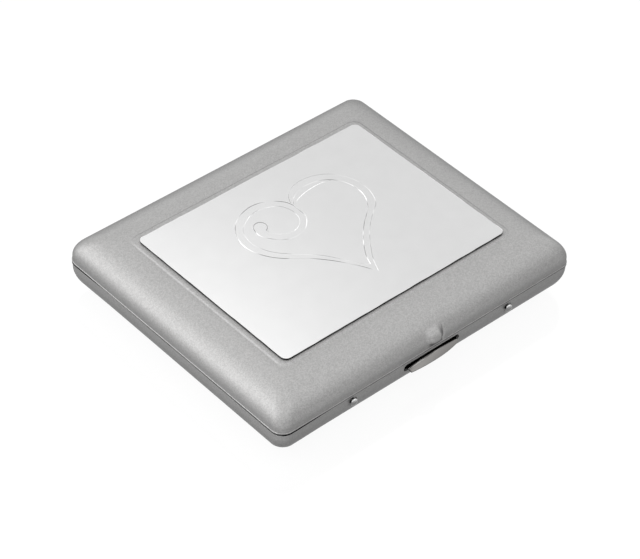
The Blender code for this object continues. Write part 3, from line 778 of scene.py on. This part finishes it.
middle = (0, PLATE_MIDDLE * MM, PLATE_LOW * MM)
plate = start("plate_engraved", bpy.ops.mesh.primitive_plane_add, size=1, location=middle)
size = (2 * PLATE_X * MM, 2 * PLATE_Y * MM, 1)
bpy.ops.transform.resize(value=size, center_override=middle)
bpy.ops.mesh.bevel(offset=PLATE_CORNER * MM, segments=PLATE_CORNER_STEPS, affect="VERTICES")
pick_all_faces()
extrude(0, 0, PLATE_TOP - PLATE_LOW)
face_outwards()
pick("EDGE", lambda place, turn: place.z > PLATE_TOP - TINY or place.z < PLATE_LOW + TINY)
bpy.ops.mesh.bevel(offset=PLATE_BEVEL * MM, segments=2)
close(angle=25)
print("plate blank, mm:", 2 * PLATE_X, "by", 2 * PLATE_Y, "by", PLATE_TOP - PLATE_LOW)

# %% Heart lines, in mm on the plate
RIBBON_OUT = (
    (2.0, -18.9), (0.6, -16.5), (-0.4, -14.6), (-1.6, -12.8), (-3.2, -10.4), (-5.0, -8.1),
    (-7.7, -5.2), (-10.9, -2.5), (-13.6, -0.2), (-15.4, 2.0), (-16.8, 4.6), (-17.5, 6.8),
    (-17.6, 9.4), (-16.9, 12.3), (-15.1, 15.3), (-12.4, 17.6), (-8.9, 19.0), (-5.3, 19.2),
    (-1.9, 17.9), (0.7, 15.7), (1.8, 13.6), (1.9, 10.9), (1.7, 8.1), (0.3, 5.8),
    (-2.3, 4.0), (-5.5, 3.5), (-8.5, 4.6), (-10.7, 6.8), (-12.1, 9.4), (-11.7, 12.0),
    (-11.0, 13.1), (-9.4, 13.5), (-8.5, 12.9), (-8.1, 11.6), (-8.6, 10.6), (-9.5, 9.9),
)
RIBBON_IN = (
    (2.1, -15.8), (0.9, -14.8), (-0.9, -11.8), (-2.7, -9.2), (-4.7, -6.3), (-6.7, -4.1),
    (-10.9, -0.3), (-13.7, 2.9), (-15.0, 5.7), (-15.5, 8.8), (-14.8, 12.0), (-14.0, 13.6),
    (-12.1, 15.1), (-8.8, 16.7), (-5.7, 17.0), (-3.2, 16.2), (-1.3, 15.1), (-0.1, 13.2),
    (0.4, 10.8), (-0.1, 8.3), (-1.2, 6.8), (-4.1, 5.5), (-7.0, 6.3), (-9.1, 8.2),
    (-9.5, 9.9),
)
LOBE_OUT = (
    (2.0, 14.0), (2.8, 15.6), (3.8, 16.8), (6.0, 18.3), (8.9, 19.0), (11.8, 18.8),
    (14.7, 17.9), (16.9, 16.5), (19.2, 13.8), (20.7, 10.5), (21.0, 6.4), (19.9, 2.3),
    (18.5, 0.2), (16.0, -1.7), (12.4, -4.5), (9.7, -7.2), (6.4, -11.2), (3.9, -14.9),
    (2.0, -18.9),
)
LOBE_IN = (
    (2.1, 12.9), (3.6, 14.7), (5.9, 16.0), (8.2, 16.7), (10.7, 16.6), (13.1, 16.1),
    (15.2, 15.0), (16.8, 13.5), (18.2, 11.0), (18.8, 7.5), (18.3, 4.2), (16.4, 0.9),
    (14.6, -0.8), (11.2, -3.5), (8.0, -6.7), (5.1, -10.2), (3.1, -13.4), (2.1, -15.8),
)
TAPER_LINE = ((2.4, 12.7), (4.3, 13.9), (7.0, 14.7), (10.2, 15.1), (13.2, 15.0), (15.8, 14.2))
print("heart points:", sum(map(len, (RIBBON_OUT, RIBBON_IN, LOBE_OUT, LOBE_IN, TAPER_LINE))))

# %% Engraving
DEEP_LINE = (0.1, 0.06)  # half width and depth
FAINT_LINE = (0.065, 0.018)
ENGRAVING = (
    (RIBBON_OUT, DEEP_LINE),
    (LOBE_IN, DEEP_LINE),
    (RIBBON_IN, FAINT_LINE),
    (LOBE_OUT, FAINT_LINE),
    (TAPER_LINE, FAINT_LINE),
)
CURVE_STEPS = 6


def engrave(points, half, depth):
    """Sweeps a four-sided tube along a smooth curve; its lower half does the cutting."""
    bpy.ops.object.select_all(action="DESELECT")
    bpy.ops.curve.primitive_bezier_curve_add(location=(0, 0, 0))
    line = bpy.context.object
    spline = line.data.splines[0]
    spline.bezier_points.add(len(points) - len(spline.bezier_points))
    for knot, (x, y) in zip(spline.bezier_points, points):
        knot.co = (x * MM, y * MM, PLATE_TOP * MM)
        knot.handle_left_type = "AUTO"
        knot.handle_right_type = "AUTO"
    spline.resolution_u = CURVE_STEPS
    line.data.dimensions = "3D"
    line.data.twist_mode = "Z_UP"
    line.data.bevel_depth = half * MM
    line.data.bevel_resolution = 0
    line.data.use_fill_caps = True
    bpy.ops.object.convert(target="MESH")
    tool = bpy.context.object
    bpy.ops.object.mode_set(mode="EDIT")
    face_outwards()
    bpy.ops.transform.resize(value=(1, 1, depth / half), center_override=(0, 0, PLATE_TOP * MM))
    bpy.ops.object.mode_set(mode="OBJECT")
    return tool


print("lines to engrave:", len(ENGRAVING))

# %% Cutting the lines
for points, size in ENGRAVING:
    cut(plate, engrave(points, *size))
close(angle=10)
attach(plate, "lid")
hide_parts("lid_plate")
print("plate:", len(plate.data.polygons), "faces")

# %% [markdown]
# ## Elastic bands
# A flat woven elastic crosses each tray from front to back and holds the cigarettes down. Its face
# shows ribs that run along it, crossed by the weft. A fine grid has every other column pulled down and
# every other crossing pulled up, and is then given its thickness. It hangs between its two brackets, a
# little stretched.

# %% Bands
BAND_HALF = 5.0
BAND_END = 37.3
BAND_COLUMNS = 18
BAND_ROWS = 136
BAND_SHEET = 0.5
BAND_X = 18.0
BASE_BAND_Z = 4.31
LID_BAND_Z = 13.13
RIB = 0.06
WEFT = 0.03


def weave(name, x, z):
    """A woven strap that lies along Y, with its middle at a place in mm."""
    middle = (x * MM, 0, (z + BAND_SHEET / 2) * MM)
    threads = {"x_subdivisions": BAND_COLUMNS, "y_subdivisions": BAND_ROWS}
    strap = start(name, bpy.ops.mesh.primitive_grid_add, size=1, location=middle, **threads)
    size = (2 * BAND_HALF * MM, 2 * BAND_END * MM, 1)
    bpy.ops.transform.resize(value=size, center_override=middle)

    def column(place):
        return round((place.x - x + BAND_HALF) / (2 * BAND_HALF) * BAND_COLUMNS)

    def row(place):
        return round((place.y + BAND_END) / (2 * BAND_END) * BAND_ROWS)

    pick("VERT", lambda place, facing: column(place) % 2 == 0)
    move(0, 0, -RIB)
    pick("VERT", lambda place, facing: (column(place) // 2 + row(place)) % 2 == 0)
    move(0, 0, WEFT)
    bpy.ops.object.mode_set(mode="OBJECT")
    finish_with(strap, "SOLIDIFY", thickness=BAND_SHEET * MM, offset=-1)
    close(angle=SHARP)
    return strap


print("ribs, mm apart:", round(4 * BAND_HALF / BAND_COLUMNS, 2))

# %% A band for each tray
base_strap = weave("base_strap", -BAND_X, BASE_BAND_Z)
lid_strap = weave("lid_strap", BAND_X, LID_BAND_Z)
for strap, tray in ((base_strap, "base"), (lid_strap, "lid")):
    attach(strap, tray)
    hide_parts(tray + "_band")
print("straps:", len(base_strap.data.polygons), "faces each")

# %% [markdown]
# ## Finishes
# A finish is a Principled shader whose colour and roughness come from a few nodes. Sums on node values
# are easier to read as plain expressions, so a small class wraps a socket and adds the Math nodes.

# %% A node's output as a number
class Wire:
    """A node's output that is added, multiplied and compared as a number is."""

    def __init__(self, finish, socket):
        self.finish = finish
        self.socket = socket

    def math(self, operation, first, second):
        return self.finish.add("ShaderNodeMath", {"operation": operation}, {0: first, 1: second})

    def __add__(self, other):
        return self.math("ADD", self, other)

    def __sub__(self, other):
        return self.math("SUBTRACT", self, other)

    def __rsub__(self, other):
        return self.math("SUBTRACT", other, self)

    def __mul__(self, other):
        return self.math("MULTIPLY", self, other)

    def __pow__(self, other):
        return self.math("POWER", self, other)

    def __lt__(self, other):
        return self.math("LESS_THAN", self, other)

    def __gt__(self, other):
        return self.math("GREATER_THAN", self, other)

    __radd__ = __add__
    __rmul__ = __mul__


print("a node's output can now be added, multiplied and compared")

# %% A node tree
class Finish:
    """A node tree and one short way to add a node: its kind, its settings and its inputs."""

    def __init__(self, owner):
        owner.use_nodes = True
        self.owner = owner
        self.tree = owner.node_tree

    def add(self, kind, settings=None, inputs=None, output=0):
        node = self.tree.nodes.new(kind)
        for key, value in (settings or {}).items():
            setattr(node, key, value)
        for key, value in (inputs or {}).items():
            self.feed(node.inputs[key], value)
        return Wire(self, node.outputs[output]) if node.outputs else None

    def feed(self, socket, value):
        if isinstance(value, Wire):
            self.tree.links.new(value.socket, socket)
        else:
            socket.default_value = value

    def blend(self, share, first, second):
        """Mixes two colours."""
        inputs = {0: share, 6: first, 7: second}
        return self.add("ShaderNodeMix", {"data_type": "RGBA"}, inputs, 2)

    def place(self, axis=None):
        """Where a point of the piece lies, in metres."""
        spot = self.add("ShaderNodeTexCoord", output="Object")
        return self.add("ShaderNodeSeparateXYZ", None, {0: spot}, axis) if axis else spot

    def upward(self):
        """How much a point's surface faces up: 1 for a top, 0 for an upright side."""
        normal = self.add("ShaderNodeTexCoord", output="Normal")
        return self.add("ShaderNodeSeparateXYZ", None, {0: normal}, "Z")

    def noise(self, scale, detail=2.0, roughness=0.5):
        inputs = {"Vector": self.place(), "Scale": scale, "Detail": detail, "Roughness": roughness}
        return self.add("ShaderNodeTexNoise", None, inputs)

    def ramp(self, value, start, end):
        """Rises evenly from 0 to 1 while a value goes from start to end."""
        return self.add("ShaderNodeMapRange", None, {0: value, 1: start, 2: end})

    def paint(self, name, value):
        """Joins a value or a colour to an input of the shader."""
        self.feed(self.shader.inputs[name], value)

    def vary_roughness(self, least, spread, scale):
        """Makes the roughness a little different from place to place."""
        self.paint("Roughness", least + self.noise(scale) * spread)


print("a finish adds its nodes by kind, settings and inputs")

# %% A new finish and a coat of it
def new_finish(name, **constants):
    """A material whose Principled shader takes its constant values from plain names."""
    finish = Finish(bpy.data.materials.new(name))
    shader = finish.tree.nodes["Principled BSDF"]
    for key, value in constants.items():
        shader.inputs[key.replace("_", " ").title()].default_value = value
    finish.shader = shader
    return finish


def coat(finish, *pieces):
    """Gives pieces a finish and nothing else."""
    for piece in pieces:
        piece.data.materials.clear()
        piece.data.materials.append(finish.owner)


def grey(level, warm=0.0):
    """A grey, a little redder than it is blue where it's warm."""
    return (level * (1 + warm), level, level * (1 - warm), 1.0)


print("a warm mid grey:", [round(value, 3) for value in grey(0.5, 0.05)])

# %% [markdown]
# ## Pearl-silver lacquer
# The trays are sprayed with a satin lacquer full of fine flakes. Each flake lies a little askew and so
# catches a little more or less light. Cells about a quarter of a millimetre across stand for the flakes.
# Seen face on, the flakes send back more light than at a slant, and the lacquer seems to darken as it
# turns away. The Facing value of a Layer Weight node carries that.

# %% Lacquer
FLAKES_A_METRE = 4200.0
CLOUDS_A_METRE = 2600.0
FLAKE_SHARE = 0.7
CLOUD_SHARE = 0.3
SPREAD = 0.16  # from the darkest flake to the brightest
DARKEST = 0.34
FACE_ON = 1.49  # how much brighter it is face on
WARMTH = 0.008
lacquer = new_finish("pearl_lacquer", metallic=0.3, roughness=0.4)
cells = {"Vector": lacquer.place(), "Scale": FLAKES_A_METRE}
flakes = lacquer.add("ShaderNodeTexVoronoi", None, cells, "Color")
one = lacquer.add("ShaderNodeSeparateColor", None, {0: flakes})
cloud = lacquer.noise(CLOUDS_A_METRE)
flop = 1 - lacquer.add("ShaderNodeLayerWeight", None, {"Blend": 0.5}, "Facing")
level = (DARKEST + (one * FLAKE_SHARE + cloud * CLOUD_SHARE) * SPREAD) * flop * FACE_ON
colour = lacquer.blend(level, grey(0.0), grey(1.0, WARMTH))
print("lacquer flakes:", round(1 / (FLAKES_A_METRE * MM), 2), "mm across")

# %% [markdown]
# The lacquer doesn't cover the sheared edges of the two rims, which stay a bare grey. They are told by
# their height and by facing straight up or down. Where the base's rim dips, along the front wall and in
# the rear half, the seam stands open and hardly any light gets in, so the edge there is painted all but
# black as painted shade. How far a place lies below the rim's full height tells that.

# %% Sheared rims and painted seam shade
SHEARED_NEAR = 0.4  # how near the rim's height a sheared edge lies
LEVEL_SQUARED = 0.64  # a face is level from here, by the square of how much it faces up or down
SEAM_SHADE_STARTS = -0.045  # the painted seam shade starts this far below the rim's full height
SEAM_SHADE_FULL = -0.12  # and is full here
FRONT_WALL = -HALF_Y + 1.1
height = lacquer.place("Z")
depth = lacquer.place("Y")
upward = lacquer.upward()
off_rim = height - BASE_RIM * MM
near_rim = off_rim * off_rim < (SHEARED_NEAR * MM) ** 2
sheared = (upward * upward > LEVEL_SQUARED) * near_rim
open_side = (depth < FRONT_WALL * MM) + (depth > 0.0)
# painted shade: where the base's rim dips and the seam stands open, the edge is painted near black
painted_seam_shade = sheared * lacquer.ramp(off_rim, SEAM_SHADE_STARTS * MM, SEAM_SHADE_FULL * MM) * open_side
rubbed = lacquer.blend(sheared, colour, grey(0.25))
lacquer.paint("Base Color", lacquer.blend(painted_seam_shade, rubbed, grey(0.02)))
coat(lacquer, lid, base)
print("lacquer nodes:", len(lacquer.tree.nodes))

# %% [markdown]
# ## Polished plate
# The plate is buffed until it mirrors the room, and a buffed sheet still scatters a little. Its sides
# are painted near black as painted shade along its edge, and the floors of the engraved lines are
# painted dark in patches, as painted shade between glints. The height and the way that the surface faces
# tell those places apart.

# %% Plate finish
HAZE_SCALE = 220.0
GLINT_SCALE = 180.0
GLINT_FROM = 0.42
GLINT_TO = 0.58
LINE_DEPTH = 0.004  # lower than this under the plate's face lies an engraved line
SIDE_FACES = 0.5  # the plate's sides face up less than this
polish = new_finish("polished_plate", metallic=1.0)
haze = polish.noise(HAZE_SCALE, detail=4.0, roughness=0.6)
polish.paint("Roughness", 0.07 + haze * 0.06)
in_line = polish.place("Z") < (PLATE_TOP - LINE_DEPTH) * MM
side_for_painted_shade = polish.upward() < SIDE_FACES
buffed = polish.blend(haze, grey(0.90), grey(0.94))
glint = polish.ramp(polish.noise(GLINT_SCALE, detail=1.0), GLINT_FROM, GLINT_TO)
# painted shade: the engraved lines are painted dark in patches between brighter glints
lines_with_painted_shade = polish.blend(in_line, buffed, polish.blend(glint, grey(0.25), grey(0.95)))
# painted shade: the plate's sides are painted near black
polish.paint("Base Color", polish.blend(side_for_painted_shade, lines_with_painted_shade, grey(0.03)))
coat(polish, plate)
print("plate nodes:", len(polish.tree.nodes))

# %% [markdown]
# ## Nickel of the catch
# The press lip is nickel, painted a little lighter towards the left as painted light. Its root carries a
# painted highlight where it comes out of the slot, most of all on the left, its sheared edge is painted
# dark as painted shade, and inside the slot it is painted near black as painted shade.
# The rivets' domes are painted bright at the crown, which faces the sky, as a painted highlight, and
# dark round the foot as painted shade.

# %% Nickel of the lip
# the painted highlight on the root grows from ROOT_FROM to ROOT_FULL
ROOT_FROM = -HALF_Y - 0.45
ROOT_FULL = -HALF_Y - 0.1
BRIGHT_FROM = 4.0  # along X, where the painted light and the painted highlight begin
BRIGHT_FULL = -8.0
SHEARED_FACES = 0.35  # the edge faces up less than this
SHADE_FROM = -HALF_Y + 0.05  # just inside the wall's face
SHADE_TO = BEHIND - 0.7
nickel = new_finish("nickel", metallic=1.0)
nickel.vary_roughness(least=0.2, spread=0.08, scale=700.0)
depth = nickel.place("Y")
near_wall = nickel.ramp(depth, ROOT_FROM * MM, ROOT_FULL * MM)
to_left = nickel.ramp(nickel.place("X"), BRIGHT_FROM * MM, BRIGHT_FULL * MM)
sheared = (nickel.upward() < SHEARED_FACES) * (depth < ROOT_FULL * MM)
# painted light: the lip is painted a little lighter towards the left
painted_left_light = nickel.blend(to_left, grey(0.28, 0.03), grey(0.345, 0.03))
# painted highlight on the root where it leaves the slot, strongest on the left
with_painted_highlight = nickel.blend(near_wall * to_left, painted_left_light, grey(0.95, 0.02))
# painted shade on the sheared edge
with_painted_edge_shade = nickel.blend(sheared, with_painted_highlight, grey(0.06))
# painted shade: inside the slot the lip is painted near black
inside = (depth > SHADE_FROM * MM) * (depth < SHADE_TO * MM)
nickel.paint("Base Color", nickel.blend(inside, with_painted_edge_shade, grey(0.02)))
nodes = frame["nodes"]
coat(nickel, lip, nodes["thumbpiece_rivet_left"], nodes["thumbpiece_rivet_right"])
print("lip nodes:", len(nickel.tree.nodes))

# %% Nickel of the domes
PAINTED_SHADE_BELOW = 0.3  # the dome is painted dark, as painted shade, where it faces up less than this
# and painted bright, as a painted highlight, where it faces up more than this
PAINTED_HIGHLIGHT_ABOVE = 0.75
domed = new_finish("domed_nickel", metallic=1.0)
domed.vary_roughness(least=0.14, spread=0.08, scale=900.0)
# painted highlight on the crown that faces the sky, painted shade round the foot
painted_crown_highlight = domed.ramp(domed.upward(), PAINTED_SHADE_BELOW, PAINTED_HIGHLIGHT_ABOVE)
domed.paint("Base Color", domed.blend(painted_crown_highlight, grey(0.2), grey(0.95)))
coat(domed, rivet, twin)
print("dome nodes:", len(domed.tree.nodes))

# %% [markdown]
# ## What lies inside
# The hinge, the keeper, the spring and the brackets are plain plated steel, with a little unevenness in
# its sheen. The film under the plate is milky. The bands are dark elastic whose threads vary a little.

# %% Plated steel
steel = new_finish("plated_steel", metallic=1.0, base_color=grey(0.55))
steel.vary_roughness(least=0.28, spread=0.2, scale=500.0)
steel_nodes = ["base_hinge_leaf", "lid_hinge_leaf", "hinge_pin", "lid_keeper"]
for tray in ("base", "lid"):
    steel_nodes += [tray + "_band_bracket_front", tray + "_band_bracket_rear"]
coat(steel, spring, *[nodes[name] for name in steel_nodes])
print("steel pieces:", 1 + len(steel_nodes))

# %% Adhesive film and elastic
film = new_finish("adhesive_film", roughness=0.6)
milky = film.blend(film.noise(300.0), grey(0.7, 0.05), grey(0.8, 0.05))
film.paint("Base Color", milky)
coat(film, nodes["plate_adhesive"])
elastic = new_finish("elastic_band", roughness=0.75)
threads = elastic.blend(elastic.noise(2500.0, detail=3.0), grey(0.1), grey(0.22))
elastic.paint("Base Color", threads)
coat(elastic, base_strap, lid_strap)
print("finishes:", len(bpy.data.materials))

# %% [markdown]
# ## Floor and light
# The case lies on a white table that mirrors it faintly. The white comes from the table's own material,
# as the camera sees it, and not from more light. The light is an even sky with a few wide soft lights
# behind the case and to its left, each a power of the cosine from its middle.

# %% Floor
FLOOR_SIZE = 6.0  # metres
FLOOR_Z = -0.02  # a hair under the case, so the two faces don't fight
MATT = 0.08
WHITE = 0.97  # how white the table looks, whatever the light
MIRROR_SHARE = 0.05
MIRROR_ROUGH = 0.08
middle = (0, 0, FLOOR_Z * MM)
floor = start("floor", bpy.ops.mesh.primitive_plane_add, size=FLOOR_SIZE, location=middle)
bpy.ops.object.mode_set(mode="OBJECT")
table = Finish(bpy.data.materials.new("table"))
table.tree.nodes.clear()
paths = table.add("ShaderNodeLightPath").socket.node.outputs
kinds = ("Is Camera Ray", "Is Glossy Ray", "Is Transmission Ray")
direct, mirrored, through = (Wire(table, paths[kind]) for kind in kinds)
white = direct + mirrored + through
matt = table.add("ShaderNodeBsdfDiffuse", None, {"Color": grey(MATT)})
gloss = {"Color": grey(1.0), "Roughness": MIRROR_ROUGH}
mirror = table.add("ShaderNodeBsdfAnisotropic", None, gloss)
glow = table.add("ShaderNodeEmission", None, {"Color": grey(1.0), "Strength": white * WHITE})
lit = table.add("ShaderNodeAddShader", None, {0: matt, 1: glow})
top = table.add("ShaderNodeMixShader", None, {0: MIRROR_SHARE, 1: lit, 2: mirror})
table.add("ShaderNodeOutputMaterial", None, {"Surface": top})
coat(table, floor)
print("floor nodes:", len(table.tree.nodes))

# %% Sky
SKY_LEVEL = 0.524
SOFT_LIGHTS = (  # azimuth and elevation in degrees, width as a power, strength
    (60, 16, 45, 2.0),
    (20, 16, 16, 1.74),
    (120, 16, 6, 1.68),
    (150, 35, 6, 1.02),
    (330, 60, 6, 0.45),
    (57, 50, 120, 1.45),
)
world = bpy.data.worlds.new("studio")
bpy.context.scene.world = world
sky = Finish(world)
sky.tree.nodes.clear()
look = sky.add("ShaderNodeTexCoord")
total = sky.add("ShaderNodeValue")
total.socket.default_value = SKY_LEVEL
for azimuth, elevation, width, strength in SOFT_LIGHTS:
    around, above = math.radians(azimuth), math.radians(elevation)
    across = math.cos(above)
    way = (across * math.cos(around), across * math.sin(around), math.sin(above))
    toward = sky.add("ShaderNodeVectorMath", {"operation": "DOT_PRODUCT"}, {0: look, 1: way}, "Value")
    total = total + toward.math("MAXIMUM", toward, 0.0) ** width * strength
light = sky.add("ShaderNodeBackground", None, {"Color": grey(1.0), "Strength": total})
sky.add("ShaderNodeOutputWorld", None, {"Surface": light})
bpy.context.scene.view_settings.view_transform = "Standard"
print("soft lights in the sky:", len(SOFT_LIGHTS))

# %% Sizes of the main pieces
for item in bpy.data.objects:
    if item.type == "MESH" and item.name.endswith(("_skin", "_engraved")):
        print(item.name, "triangles:", sum(len(face.vertices) - 2 for face in item.data.polygons))
